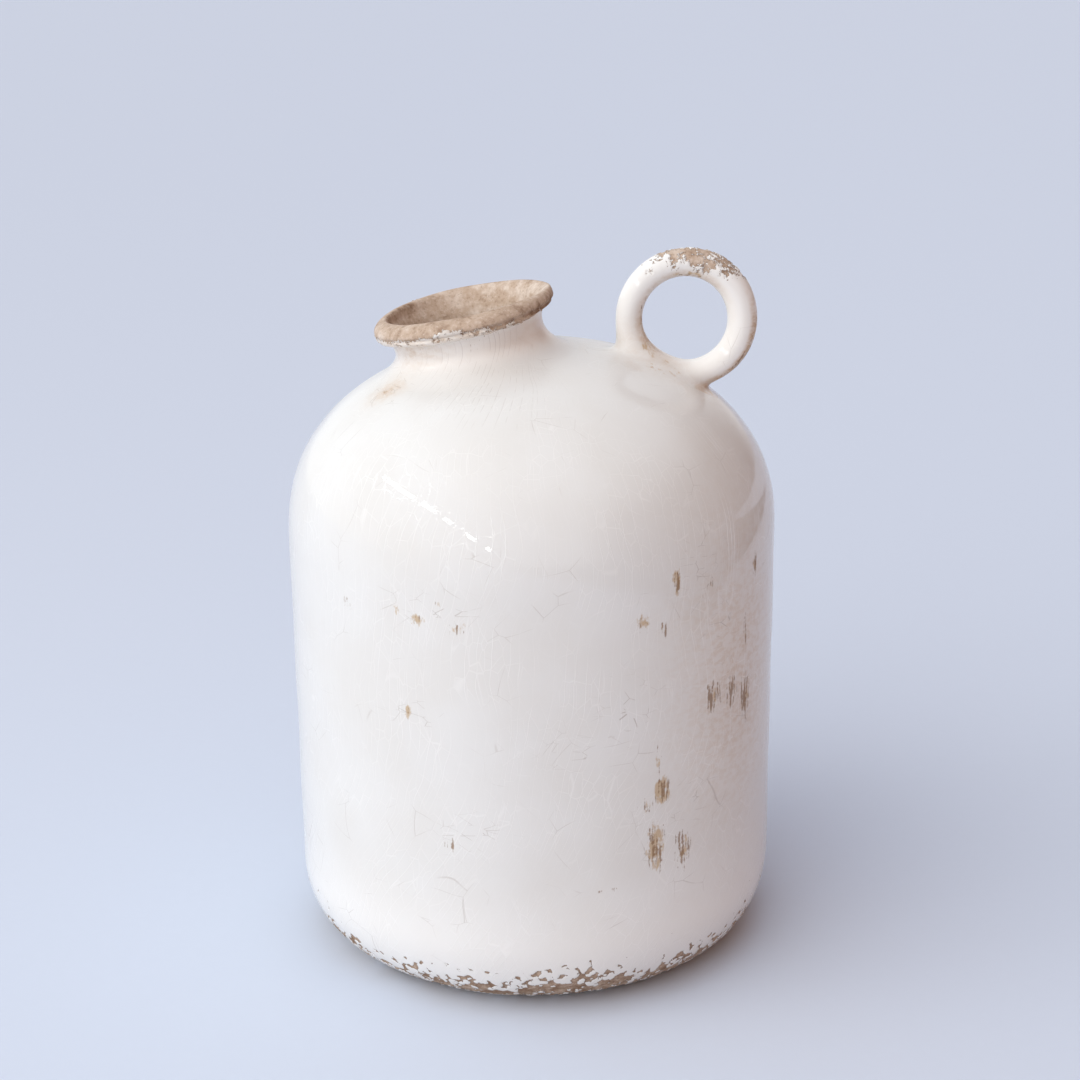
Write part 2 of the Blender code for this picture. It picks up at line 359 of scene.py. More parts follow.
def shoulder_height(out):
    """The height of the shoulder's outer surface at a distance from the axis."""
    share = np.clip(1 - (out / BODY_RADIUS) ** SHOULDER_POWER_ACROSS, 0, 1)
    return SHOULDER_HEIGHT + (BODY_HEIGHT - SHOULDER_HEIGHT) * share ** (1 / SHOULDER_POWER_UP)


def shoulder_arc(grow):
    """The shoulder from the axis down to the wall, grown outward."""
    rise = BODY_HEIGHT + grow - SHOULDER_HEIGHT
    arc = quarter_arc(BODY_RADIUS + grow, rise, SHOULDER_POWER_ACROSS, SHOULDER_POWER_UP)
    return arc[::-1] + (0, SHOULDER_HEIGHT)


def corner_arc(inner, outer, bottom, height):
    """The rounded corner at the foot, from the wall down to its inner end."""
    arc = quarter_arc(outer - inner, height, FOOT_CORNER_POWER, FOOT_CORNER_POWER)
    return arc * (1, -1) + (inner, bottom + height)


def ease(low, high, value):
    """From 0 at low to 1 at high, with a smooth start and end."""
    share = np.clip((value - low) / (high - low), 0, 1)
    return share * share * (3 - 2 * share)


def bump_at(value, middle, width):
    """A smooth hump of height 1."""
    return np.exp(-(((value - middle) / width) ** 2))


def waves(turn, table):
    """A sum of waves round a circle, from their heights, counts and shifts."""
    return sum(high * np.sin(count * turn + shift) for high, count, shift in table)


def funnel(height):
    """The radius of the mouth inside, from the bore up to the lip."""
    share = np.clip((height - NECK_WAIST_HEIGHT) / (LIP_MIDDLE - NECK_WAIST_HEIGHT), 0, 1)
    return NECK_BORE + (FUNNEL_TOP - NECK_BORE) * share**FUNNEL_POWER


# Frames on the shoulder


def shoulder_frame(offset, tilt):
    place = Matrix.Translation((offset, 0, float(shoulder_height(abs(offset)))))
    return np.array(place @ Matrix.Rotation(tilt, 4, "Y"))


NECK_FRAME = shoulder_frame(-NECK_OFFSET, -NECK_LEAN)
RING_FRAME = shoulder_frame(RING_OFFSET, RING_TILT)


def to_world(place, points):
    return points @ place[:3, :3].T + place[:3, 3]


def to_local(place, points):
    return (points - place[:3, 3]) @ place[:3, :3]


def ground_under(place, along, across):
    """The shoulder's height in a tilted frame, at points of the frame's own plane."""
    height = np.zeros_like(along)
    for _ in range(20):
        world = to_world(place, np.column_stack([along, across, height]))
        height = height - world[:, 2] + shoulder_height(np.hypot(world[:, 0], world[:, 1]))
    return height


# Meshes


def bridge(upper, lower):
    """Faces between two rings. One may have twice the other's points, or be a single point."""
    upper_after, lower_after = np.roll(upper, -1), np.roll(lower, -1)
    if len(upper) == 1:
        rows = [(np.repeat(upper, len(lower)), lower, lower_after)]
    elif len(lower) == 1:
        rows = [(upper, np.repeat(lower, len(upper)), upper_after)]
    elif len(lower) == 2 * len(upper):
        left, middle, right = lower[0::2], lower[1::2], np.roll(lower[0::2], -1)
        rows = [(upper, left, middle), (upper, middle, upper_after), (upper_after, middle, right)]
    elif len(upper) == 2 * len(lower):
        left, middle, right = upper[0::2], upper[1::2], np.roll(upper[0::2], -1)
        rows = [(left, lower, middle), (middle, lower, lower_after), (middle, lower_after, right)]
    else:
        rows = [(upper, lower, lower_after, upper_after)]
    return [face for row in rows for face in np.column_stack(row).tolist()]


def add_object(name, data):
    made = bpy.data.objects.new(name, data)
    bpy.context.scene.collection.objects.link(made)
    return made


def new_piece(name, points, faces):
    mesh = bpy.data.meshes.new(name)
    mesh.from_pydata(points.tolist(), [], faces)
    return add_object(name, mesh)


def skin(name, rings, closed=False):
    """A skin over rings of points that run up the inside and down the outside."""
    starts = np.cumsum([0] + [len(ring) for ring in rings])
    numbers = [np.arange(low, high) for low, high in zip(starts, starts[1:])]
    pairs = list(zip(numbers, numbers[1:]))
    if closed:
        pairs.append((numbers[-1], numbers[0]))
    faces = [face for upper, lower in pairs for face in bridge(upper, lower)]
    return new_piece(name, np.concatenate(rings), faces)


def angles(columns):
    return np.linspace(0, 2 * pi, columns, endpoint=False)


def circle(turn, out, up):
    """Points round an axis. Their distance and height may change with the turn."""
    return np.column_stack([out * np.cos(turn), out * np.sin(turn), np.broadcast_to(up, turn.shape)])


def level_rings(profile, columns):
    """Level rings of points along a profile, with a single point where it meets the axis."""
    turn = angles(columns)
    return [np.array([[0, 0, up]]) if out < 1e-6 else circle(turn, out, up) for out, up in profile]


def apply_modifiers(piece):
    graph = bpy.context.evaluated_depsgraph_get()
    made = bpy.data.meshes.new_from_object(piece.evaluated_get(graph))
    piece.modifiers.clear()
    old = piece.data
    piece.data = made
    bpy.data.meshes.remove(old)


def points_of(piece):
    points = np.empty(len(piece.data.vertices) * 3)
    piece.data.vertices.foreach_get("co", points)
    return points.reshape(-1, 3)


def move_points(piece, points):
    piece.data.vertices.foreach_set("co", points.ravel())
    piece.data.update()


def mark(piece, **fields):
    """Writes one number for each point under each name, for the materials and the chips."""
    unworn = np.full(len(piece.data.vertices), GLAZED)
    none = np.zeros(len(unworn))
    start = {"scuff": unworn, "streak": unworn, "pool": none, "craze": none, "scratch": none, "dull": none}
    for name, values in {**start, **fields}.items():
        layer = piece.data.attributes.new(name, "FLOAT", "POINT")
        layer.data.foreach_set("value", np.asarray(values, np.float32))


def hand_made(piece):
    """The slight unevenness of a pot made by hand. The foot stays flat on the table."""
    points = points_of(piece)
    wave = 2 * pi / WOBBLE_LENGTH
    shift = np.sin(wave * points[:, [1, 2, 0]] + (0.4, 1.9, 4))
    shift += 0.5 * np.sin(1.9 * wave * points[:, [2, 0, 1]] + (2.3, 0.6, 3.1))
    shift[:, 2] *= ease(0, FOOT_CORNER_HEIGHT, points[:, 2])
    move_points(piece, points + WOBBLE * shift)


# Pieces


def make_body():
    """The wall with its shoulder, foot ring and inside, and the hole under the neck."""
    wall = np.array([[BODY_RADIUS, FOOT_CORNER_HEIGHT]])
    outside = evenly(np.concatenate([shoulder_arc(0), wall]), BODY_STEP)
    corner = evenly(corner_arc(FOOT_RADIUS, BODY_RADIUS, 0, FOOT_CORNER_HEIGHT), FOOT_STEP)
    foot = [(FOOT_RING_INNER, 0), (FOOT_RING_INNER, FLOOR_RAISE)]
    foot += [(FLOOR_SEAT, FLOOR_RAISE), (FLOOR_SEAT, FLOOR_TOP)]
    inner_corner = corner_arc(INNER_CORNER_OUT, BODY_RADIUS - WALL, FLOOR_TOP, INNER_CORNER_HEIGHT)
    inside = np.concatenate([inner_corner[::-1], shoulder_arc(-WALL)[::-1]])
    rings = level_rings(outside, BODY_COLUMNS)
    rings += level_rings(corner[1:], 2 * BODY_COLUMNS)
    rings += level_rings(foot, BODY_COLUMNS)
    rings += level_rings(evenly(inside, 4 * BODY_STEP), BODY_COLUMNS)
    body = skin("vase_body", rings)
    cut_hole(body)
    return body


def cut_hole(body):
    """The hole through the shoulder, along the neck's own axis."""
    ends = ((0, NECK_TUBE), (NECK_HOLE, NECK_TUBE), (NECK_HOLE, -NECK_TUBE), (0, -NECK_TUBE))
    plug = skin("neck_plug", [to_world(NECK_FRAME, ring) for ring in level_rings(ends, NECK_COLUMNS)])
    boolean = body.modifiers.new("Hole", "BOOLEAN")
    boolean.solver = "MANIFOLD"
    boolean.object = plug
    apply_modifiers(body)
    bpy.data.objects.remove(plug)


def make_floor():
    """The slab let into the foot ring."""
    radius = FLOOR_SEAT - JOINT_GAP
    edge = radius - FLOOR_EDGE
    low = FLOOR_RAISE + JOINT_GAP
    profile = [(0, FLOOR_TOP), (edge, FLOOR_TOP), (radius, FLOOR_TOP - FLOOR_EDGE)]
    profile += [(radius, low + FLOOR_EDGE), (edge, low), (0, low)]
    return skin("vase_floor", level_rings(evenly(np.array(profile), BODY_STEP), BODY_COLUMNS // 2))


def make_neck():
    """The collar with its bore, its hollow sweep and a skirt tucked under the shoulder's surface."""
    turn = angles(NECK_COLUMNS)
    top = LIP_MIDDLE - LIP_SEAT_DROP + 0.5 * TUCK
    rise = top - NECK_WAIST_HEIGHT

    def ground(out):
        return ground_under(NECK_FRAME, out * np.cos(turn), out * np.sin(turn))

    def ring(out, height):
        return to_world(NECK_FRAME, circle(turn, out, height))

    bottom = ground(NECK_BORE) - WALL - TUCK
    rise_inside = NECK_WAIST_HEIGHT - bottom
    rings = [ring(NECK_BORE, bottom + rise_inside * share) for share in np.linspace(0, 1, BORE_RINGS)]
    for height in np.linspace(NECK_WAIST_HEIGHT, LIP_MIDDLE, FUNNEL_RINGS)[1:]:
        tuck = 0.2 * TUCK * ease(LIP_MIDDLE - TUCK, LIP_MIDDLE, height)
        rings.append(ring(funnel(height) + tuck, height))
    outside = evenly(quarter_arc(NECK_TOP_OUTER - NECK_WAIST, rise), FOOT_STEP)
    rings += [ring(NECK_TOP_OUTER - out, NECK_WAIST_HEIGHT + up) for out, up in outside[::-1]]
    foot = NECK_WAIST + NECK_SWEEP
    for angle in np.linspace(0.5 * pi, 0, SWEEP_RINGS)[1:]:
        out = foot - NECK_SWEEP * sin(angle)
        under = ground(out)
        rings.append(ring(out, under + (1 - cos(angle)) * (NECK_WAIST_HEIGHT - under)))
    for share in np.linspace(0, 1, SKIRT_RINGS)[1:]:
        out = foot + SKIRT * share
        rings.append(ring(out, ground(out) - SKIRT_SINK - 0.1 * TUCK * share**2))
    for out, depth in ((foot + SKIRT, TUCK), (NECK_TUBE, 2 * TUCK), (NECK_TUBE, WALL + TUCK)):
        rings.append(ring(out, ground(out) - depth))
    return skin("vase_neck", rings, closed=True)


def smooth_loop(corners, steps):
    """A closed smooth curve through corners. Each one's neighbours set its direction."""
    before, after = np.roll(corners, 1, axis=0), np.roll(corners, -1, axis=0)
    slope = 0.5 * (after - before)
    end_slope = np.roll(slope, -1, axis=0)
    curve = []
    for share in np.linspace(0, 1, steps, endpoint=False):
        lead = share * (1 - share) ** 2
        trail = -share * share * (1 - share)
        curve.append(corners + ease(0, 1, share) * (after - corners) + lead * slope + trail * end_slope)
    return np.stack(curve, axis=1).reshape(-1, 2)


def lip_turn(along, across):
    """Degrees round the neck from the front, to the high side and the ring."""
    return np.degrees(np.arctan2(along, -across))


def lip_thickness(turn):
    """From 1 at the front and the low side to 0 on the high side, with the back between."""
    front = ease(95, 35, turn) * (1 - 0.5 * ease(-110, -175, turn))
    return front + 0.5 * ease(100, 170, turn)


def make_lip():
    """The roll of bare clay, a little uneven, with a groove along its outer face."""
    turn = angles(LIP_COLUMNS)
    thick = lip_thickness(lip_turn(np.cos(turn), np.sin(turn)))
    fatness = waves(turn, LIP_FATNESS)
    drip = waves(turn, LIP_DRIPS)
    grooved = 0.3 + 0.7 * ease(-0.5, 0.6, np.cos(turn + 0.9))
    full = smooth_loop(0.001 * np.array(LIP_THICK), LIP_STEPS)
    slight = smooth_loop(0.001 * np.array(LIP_THIN), LIP_STEPS)
    rings = []
    for (full_out, full_up), (slight_out, slight_up) in zip(full, slight):
        out = slight_out + (full_out - slight_out) * thick
        up = slight_up + (full_up - slight_up) * thick
        groove = LIP_GROOVE * grooved * bump_at(up, -0.0012, 0.0005) * ease(0.0012, 0.002, out)
        drop = drip * ease(-0.0018, -0.003, up) * ease(-0.002, 0, out)
        free = np.maximum(ease(-0.003, -0.001, out), ease(0, 0.0025, up))
        fat = 1 + fatness * free
        reach = LIP_RADIUS - 0.5 * LIP_WIDTH + out * fat - groove
        rings.append(to_world(NECK_FRAME, circle(turn, reach, LIP_MIDDLE + up * fat + drop)))
    return skin("vase_lip", rings, closed=True)


def ring_distance(points):
    """Below zero inside the ring and the clay that blends it into the shoulder."""
    along, across, up = to_local(RING_FRAME, points).T
    lift = up - RING_RADIUS + RING_SINK
    tube = RING_TUBE + RING_SWELL * np.cos(np.arctan2(lift, along) - RING_SWELL_TURN)
    ring = np.hypot(np.hypot(along, lift) - RING_RADIUS, across) - tube
    dome = points[:, 2] - shoulder_height(np.hypot(points[:, 0], points[:, 1])) + SKIRT_SINK
    dome *= cos(RING_TILT)
    downhill = ease(-0.4 * RING_RADIUS, 0.9 * RING_RADIUS, along)
    reach = FILLET_UPHILL + (FILLET_DOWNHILL - FILLET_UPHILL) * downhill
    near = np.clip(1 - np.abs(ring - dome) / reach, 0, 1)
    joined = np.minimum(ring, dome) - reach * near**3 / 6
    return np.maximum(np.maximum(joined, -dome - 3 * TUCK), ring - 0.97 * reach)


def slope_of(distance, points):
    """The gradient of a distance, by small steps each way."""
    step = 0.02 * RING_PITCH
    slopes = [distance(points + move) - distance(points - move) for move in step * np.eye(3)]
    return np.column_stack(slopes) / (2 * step)


def make_ring():
    """The finger ring and its saddle, a skin drawn on a grid and settled onto the true surface."""
    reach = RING_RADIUS + RING_TUBE + FILLET_UPHILL
    middle = to_world(RING_FRAME, np.array([0, 0, 0.6 * RING_RADIUS]))
    half = np.array([reach, RING_TUBE + FILLET_UPHILL + TUCK, reach])
    counts = np.ceil(2 * half / RING_PITCH).astype(int)
    axes = [low + RING_PITCH * np.arange(count) for low, count in zip(middle - half, counts)]
    cells = np.stack(np.meshgrid(*axes, indexing="ij"), axis=-1).reshape(-1, 3)
    grid = openvdb.FloatGrid(1)
    grid.copyFromArray(ring_distance(cells).reshape(counts).astype(np.float32))
    points, quads = grid.convertToQuads(0)
    points = middle - half + RING_PITCH * np.asarray(points, float)
    for _ in range(4):
        slope = slope_of(ring_distance, points)
        steep = np.maximum((slope**2).sum(axis=1), 0.25)
        points = points - (ring_distance(points) / steep)[:, None] * slope
    return new_piece("vase_ring", points, np.asarray(quads).tolist())


# Where each piece is worn, chipped and stained


def turn_gap(turn, middle):
    """Degrees from a direction, the short way round."""
    return np.mod(turn - middle + 180, 360) - 180


def hump_round(turn, middle, width):
    """A smooth hump of height 1 round a direction."""
    return bump_at(turn_gap(turn, middle), 0, width)


def soft_patch(turn, height, strength, middle, width, up, reach):
    """A smooth hump round a direction and a height."""
    return strength * bump_at(turn, middle, width) * bump_at(height, up, reach)


def gap_from(turn, height, middle, up, half_width, half_height):
    """How far the wall's points are from a place, squared, in shares of its half sizes."""
    across = turn_gap(turn, middle) * radians(1) * BODY_RADIUS / (0.001 * half_width)
    along = (height - 0.001 * up) / (0.001 * half_height)
    return across**2 + along**2


def wall_marks(turn, height):
    """Wear at the listed places, and at a few more on the hidden sides."""
    chance = np.random.default_rng(11)
    places = list(WORN_PLACES)
    for _ in range(HIDDEN_WORN_PLACES):
        size = chance.uniform(1.5, 4)
        spot = (chance.uniform(80, 280), chance.uniform(45, 145), size, size * chance.uniform(1, 2.4))
        places.append(spot + (chance.uniform(-0.2, 0.6), chance.uniform(0, 0.5)))
    fill = np.full(len(turn), GLAZED)
    lines = fill.copy()
    for *place, filled, lined in places:
        fade = 0.35 - 0.9 * gap_from(turn, height, *place)
        fill = np.maximum(fill, filled + fade)
        lines = np.maximum(lines, lined + fade)
    return fill, lines


def shoulder_spot(points):
    """The marks at the spot left of the neck, on any piece."""
    gap = np.linalg.norm((points - SPOT_PLACE) / np.array(SPOT_REACH), axis=1)
    spot = np.exp(-(gap**2))
    return 0.8 * spot, GLAZED + 3 * spot, 2 * np.exp(-((gap / 1.6) ** 2))


def drips(points):
    """Below zero where fine dark hairlines run down the neck's front onto the shoulder."""
    front = bump_at(points[:, 0], -NECK_OFFSET + 0.004, 0.02) * ease(-0.012, -0.022, points[:, 1])
    return -3.2 * front * ease(0.183, 0.194, points[:, 2])


def dulled(points):
    """1 round the neck, where the glaze is less glossy, and 0 further off."""
    along, across, _ = to_local(NECK_FRAME, points).T
    return ease(0.064, 0.042, np.hypot(along, across)) * ease(0.165, 0.185, points[:, 2])


def foot_chips(turn, height):
    """Bare up to a ragged line round the foot."""
    level = FOOT_BARE_HEIGHT + waves(np.radians(turn), FOOT_WAVES)
    for rise, middle, width in FOOT_RISES:
        level += rise * hump_round(turn, middle, width)
    chip = np.clip((level - height) / FOOT_BARE_FADE, GLAZED, FOOT_BARE_MOST)
    chip[height < FOOT_FLAT] = BARE
    return chip


def inside_wall(out, height):
    """Which points lie on the wall's inside."""
    corner = corner_arc(FOOT_RADIUS, BODY_RADIUS, 0, FOOT_CORNER_HEIGHT)[::-1]
    outer = np.interp(height, corner[:, 1], corner[:, 0])
    return (height > FLOOR_RAISE) & (height < SHOULDER_HEIGHT) & (out < outer - 0.5 * WALL)


def mark_body(body):
    """A bare foot, rubbed and scratched places, stains at the ring's foot, a painted warm shade on the
    right, and glaze painted whiter low on the wall as painted light.
    """
    points = points_of(body)
    out = np.hypot(points[:, 0], points[:, 1])
    turn = np.degrees(np.arctan2(points[:, 0], -points[:, 1]))
    height = points[:, 2]
    inside = inside_wall(out, height)
    chip = foot_chips(turn, height)
    chip[inside] = GLAZED
    chip[inside & (out < FLOOR_SEAT + 0.001)] = BARE
    spot_stain, spot_lines, scratch = shoulder_spot(points)
    saddle = np.linalg.norm(to_local(RING_FRAME, points) / SADDLE_REACH, axis=1)
    # Stains left of the neck and at the ring's foot, and a painted warm shade on the right
    stain = spot_stain + SADDLE_STAIN * np.exp(-(saddle**4)) + soft_patch(turn, height, *SIDE_PAINTED_SHADE)
    craze = drips(points)
    for place in CRAZED_PLACES:
        craze += soft_patch(turn, height, *place)
    for place in SCRATCHED_PLACES:
        scratch = np.maximum(scratch, 2 * np.exp(-gap_from(turn, height, *place)))
    fill, lines = wall_marks(turn, height)
    lines = np.maximum(lines, spot_lines)
    tone = np.full(len(points), FOOT_TONE)
    # Painted light: the glaze is painted whiter low on the wall
    pool = 0.45 * ease(0.055, 0.02, height)
    wear = dict(scuff=fill, streak=lines, craze=craze, scratch=scratch, dull=dulled(points))
    mark(body, chip=chip, stain=stain, pool=pool, tone=tone, **wear)


def mouth_tone(along, height):
    """The clay inside the mouth: brown on the low side, cream on the high side, and painted browner deeper
    down as painted shade.
    """
    # Painted shade: browner deeper in the mouth
    painted_depth_shade = 0.34 * ease(0.008, 0.002, height)
    crest = 0.16 * ease(0.0125, 0.015, height)
    return np.clip(0.31 - 7 * along + painted_depth_shade + crest, *MOUTH_TONES)


def mark_neck(neck):
    """Bare clay inside, and white glaze outside with a stained band under the lip, a painted warm shade on
    the right, glaze painted whiter up the neck as painted light, and fine drips.
    """
    points = points_of(neck)
    along, across, height = to_local(NECK_FRAME, points).T
    inside = ease(0.0016, 0.0008, np.hypot(along, across) - funnel(height))
    turn = lip_turn(along, across)
    under_lip = ease(-0.001, 0.0065, height) * (0.05 + 0.58 * bump_at(turn, -48, 30))
    # Painted warm shade on the neck's right side
    warm = ease(-0.006, 0.003, height) * (0.01 + 0.13 * bump_at(turn, 58, 36))
    chip = GLAZED + (BARE - GLAZED) * inside
    # Painted light: the glaze is painted whiter up the neck, away from its foot
    pool = ease(0.001, 0.005, height - ground_under(NECK_FRAME, along, across))
    scuff = GLAZED + soft_patch(turn, height, *NECK_RUB)
    spot_stain, spot_lines, scratch = shoulder_spot(points)
    streak = np.maximum(GLAZED + 2.4 * bump_at(turn, 5, 60) * pool, spot_lines)
    stain = under_lip + warm + spot_stain
    tone = mouth_tone(along, height)
    wear = dict(scuff=scuff, streak=streak, craze=drips(points), scratch=scratch, dull=dulled(points))
    mark(neck, chip=chip, stain=stain, pool=pool, tone=tone, **wear)


def mark_lip(lip):
    """Bare clay, with beads of glaze under its outer edge and a white patch in front, and painted shade low
    on its right side.
    """
    along, across, height = to_local(NECK_FRAME, points_of(lip)).T
    turn = lip_turn(along, across)
    crest = LIP_RADIUS - 0.5 * LIP_WIDTH + 0.0012 - 0.0037 * lip_thickness(turn)
    outer = ease(-0.0008, 0.0008, np.hypot(along, across) - crest)
    low = ease(LIP_MIDDLE + 0.0004, LIP_MIDDLE - 0.0014, height)
    under = outer * ease(LIP_MIDDLE - 0.0023, LIP_MIDDLE - 0.0029, height)
    right = ease(30, 85, turn) * ease(175, 130, turn)
    beads = outer * low * (1 - 0.75 * ease(0, 55, turn) * ease(175, 130, turn))
    patch = outer * soft_patch(turn, height, *LIP_PATCH)
    rust = outer * soft_patch(turn, height, *LIP_RUST)
    groove = outer * bump_at(height, LIP_MIDDLE - 0.0012, 0.0006) * ease(-60, -10, turn)
    # Painted shade: the lip's outer face is browner low down on its right side
    shade = ease(LIP_MIDDLE + 0.0022, LIP_MIDDLE - 0.0002, height)
    face = 0.42 + 0.12 * ease(-80, -20, turn) + 0.06 * groove + 0.06 * rust + 0.28 * right * shade
    mouth = mouth_tone(along, height)
    chip = BARE - 1.75 * beads - 0.8 * under * (1 - right) - 2.6 * patch
    stain = 0.5 * outer * low + 0.4 * patch
    mark(lip, chip=chip, stain=stain, tone=mouth + (face - mouth) * outer)


def ring_chips(turn, side, rise):
    """Bare on top, with a shard gone on the left and a bare outer edge on the right."""
    chip = np.clip((rise - RING_BARE_FROM) / RING_BARE_FADE, GLAZED, RING_BARE_MOST)
    shard = hump_round(turn, *RING_SHARD) * bump_at(side, 0.0018, 0.0018)
    edge = hump_round(turn, *RING_EDGE) * ease(0.003, 0.0044, side)
    return np.maximum(chip, GLAZED + np.maximum(2.6 * shard, 3 * edge))


def mark_ring(ring):
    """Bare on top, rubbed inside on the left and the crown, with a brown line down the outer right that is
    partly dirt and partly painted shade, and glaze painted whiter up the ring as painted light.
    """
    points = points_of(ring)
    along, _, up = to_local(RING_FRAME, points).T
    lift = up - RING_RADIUS + RING_SINK
    turn = np.degrees(np.arctan2(lift, along))
    side = np.hypot(along, lift) - RING_RADIUS
    rise = along * cos(RING_BARE_TURN) + lift * sin(RING_BARE_TURN)
    hole = ease(-0.001, -0.0036, side)
    face = ease(0.0008, -0.0032, side)
    left = hump_round(turn, *RING_LEFT)
    crown = hump_round(turn, *RING_CROWN)
    root = bump_at(up, 0, 0.004) * ease(0.03, 0.016, np.abs(along))
    uphill = bump_at(along, -0.014, 0.008) * bump_at(up, 0.005, 0.006)
    # Partly dirt, partly painted shade: a dark line along the outer right edge
    outer_dirt_and_painted_shade = ease(0.0018, 0.0034, side) * hump_round(turn, *RING_OUTER)
    stain = hole * (0.6 * left + 0.6 * crown) + 0.12 * root + 0.18 * uphill + 1.4 * outer_dirt_and_painted_shade
    streak = GLAZED + np.maximum(3.4 * outer_dirt_and_painted_shade, hole * (3.1 * left + 2.75 * crown))
    scuff = GLAZED + np.minimum(face * (2.9 * left + 2.8 * crown) + 2.5 * root, 2.8)
    # Painted light: the glaze is painted whiter up the ring, more on its downhill side
    pool = (0.5 + 0.25 * ease(-0.01, 0.01, along)) * ease(-0.002, 0.006, up)
    tone = 0.46 + 0.22 * ease(95, 65, turn)
    wear = dict(scuff=scuff, streak=streak, dull=dulled(points))
    mark(ring, chip=ring_chips(turn, side, rise), stain=stain, pool=pool, tone=tone, **wear)


def mark_floor(floor):
    """Bare clay all over."""
    count = len(floor.data.vertices)
    mark(floor, chip=np.full(count, BARE), stain=np.zeros(count), tone=np.full(count, FLOOR_TONE))


# Node helpers, for shader trees and geometry trees alike


def node(tree, kind, inputs=None, **settings):
    made = tree.nodes.new(kind)
    for name, value in settings.items():
        setattr(made, name, value)
    for name, value in (inputs or {}).items():
        if isinstance(value, bpy.types.NodeSocket):
            tree.links.new(value, made.inputs[name])
        else:
            made.inputs[name].default_value = value
    return made


def calc(tree, operation, *values):
    return node(tree, "ShaderNodeMath", dict(enumerate(values)), operation=operation).outputs[0]


def times(tree, first, second):
    return calc(tree, "MULTIPLY", first, second)


def times_add(tree, first, second, more):
    """First times second, plus more."""
    return calc(tree, "MULTIPLY_ADD", first, second, more)


def stretch(tree, place, x, y, z):
    return node(tree, "ShaderNodeVectorMath", {0: place, 1: (x, y, z)}, operation="MULTIPLY").outputs[0]


def ramp(tree, value, low, high, start=0, end=1):
    inputs = {0: value, 1: low, 2: high, 3: start, 4: end}
    return node(tree, "ShaderNodeMapRange", inputs, interpolation_type="SMOOTHSTEP").outputs[0]


def noise(tree, place, size, detail=2, roughness=0.5, distortion=0):
    inputs = {"Vector": place, "Scale": 1 / size, "Detail": detail}
    inputs |= {"Roughness": roughness, "Distortion": distortion}
    return node(tree, "ShaderNodeTexNoise", inputs).outputs[0]


def mix(tree, share, first, second):
    return node(tree, "ShaderNodeMix", {0: share, 6: first, 7: second}, data_type="RGBA").outputs[2]


def parts_of(tree, place):
    return node(tree, "ShaderNodeSeparateXYZ", {0: place}).outputs


def height_of(tree, place):
    return parts_of(tree, place)["Z"]


def bare_field(tree, place, chip):
    """Above zero where the glaze is gone. The same nodes shape the surface and colour it.

    Low on the pot the glaze has drawn up into beads. Higher up it has flaked."""
    grain = noise(tree, place, CHIP_SIZE, detail=1.8, distortion=0.2)
    cells = {"Vector": place, "Scale": 1 / BEAD_SIZE}
    beads = node(tree, "ShaderNodeTexVoronoi", cells, feature="F1").outputs["Distance"]
    flakes = noise(tree, place, FLAKE_SIZE, detail=4, roughness=0.65)
    low = ramp(tree, height_of(tree, place), *BEADS_END, BEAD_CONTRAST, 0)
    high = ramp(tree, height_of(tree, place), *BEADS_END, 0, FLAKE_CONTRAST)
    field = chip
    for part, contrast in ((grain, CHIP_CONTRAST), (beads, low), (flakes, high)):
        field = times_add(tree, calc(tree, "SUBTRACT", part, 0.5), contrast, field)
    return field


# Chips in the surface


def chip_nodes():
    """Sinks the bare clay below the glaze and roughens it."""
    tree = bpy.data.node_groups.new("Chipped glaze", "GeometryNodeTree")
    tree.interface.new_socket("Geometry", in_out="INPUT", socket_type="NodeSocketGeometry")
    tree.interface.new_socket("Geometry", in_out="OUTPUT", socket_type="NodeSocketGeometry")
    place = node(tree, "GeometryNodeInputPosition").outputs[0]
    chip = node(tree, "GeometryNodeInputNamedAttribute", {"Name": "chip"}, data_type="FLOAT").outputs[0]
    bare = ramp(tree, bare_field(tree, place, chip), 0, 2 * CHIP_EDGE)
    rough = times_add(tree, noise(tree, place, CHIP_GRAIN, detail=3), -0.3, 1.1)
    depth = times(tree, times(tree, bare, rough), -CHIP_DEPTH)
    normal = node(tree, "GeometryNodeInputNormal").outputs[0]
    offset = node(tree, "ShaderNodeVectorMath", {0: normal, "Scale": depth}, operation="SCALE").outputs[0]
    entry = node(tree, "NodeGroupInput").outputs[0]
    moved = node(tree, "GeometryNodeSetPosition", {"Geometry": entry, "Offset": offset}).outputs[0]
    node(tree, "NodeGroupOutput", {0: moved})
    return tree


# Materials


def attribute(tree, name):
    return node(tree, "ShaderNodeAttribute", attribute_name=name).outputs["Fac"]


def cell_lines(tree, place, size, width, tall):
    """Thin lines between cells, which may be taller than wide."""
    inputs = {"Vector": stretch(tree, place, 1, 1, 1 / tall), "Scale": 1 / size, "Randomness": 1}
    cell = node(tree, "ShaderNodeTexVoronoi", inputs, feature="DISTANCE_TO_EDGE").outputs[0]
    return ramp(tree, cell, 0, width / size, 1, 0)


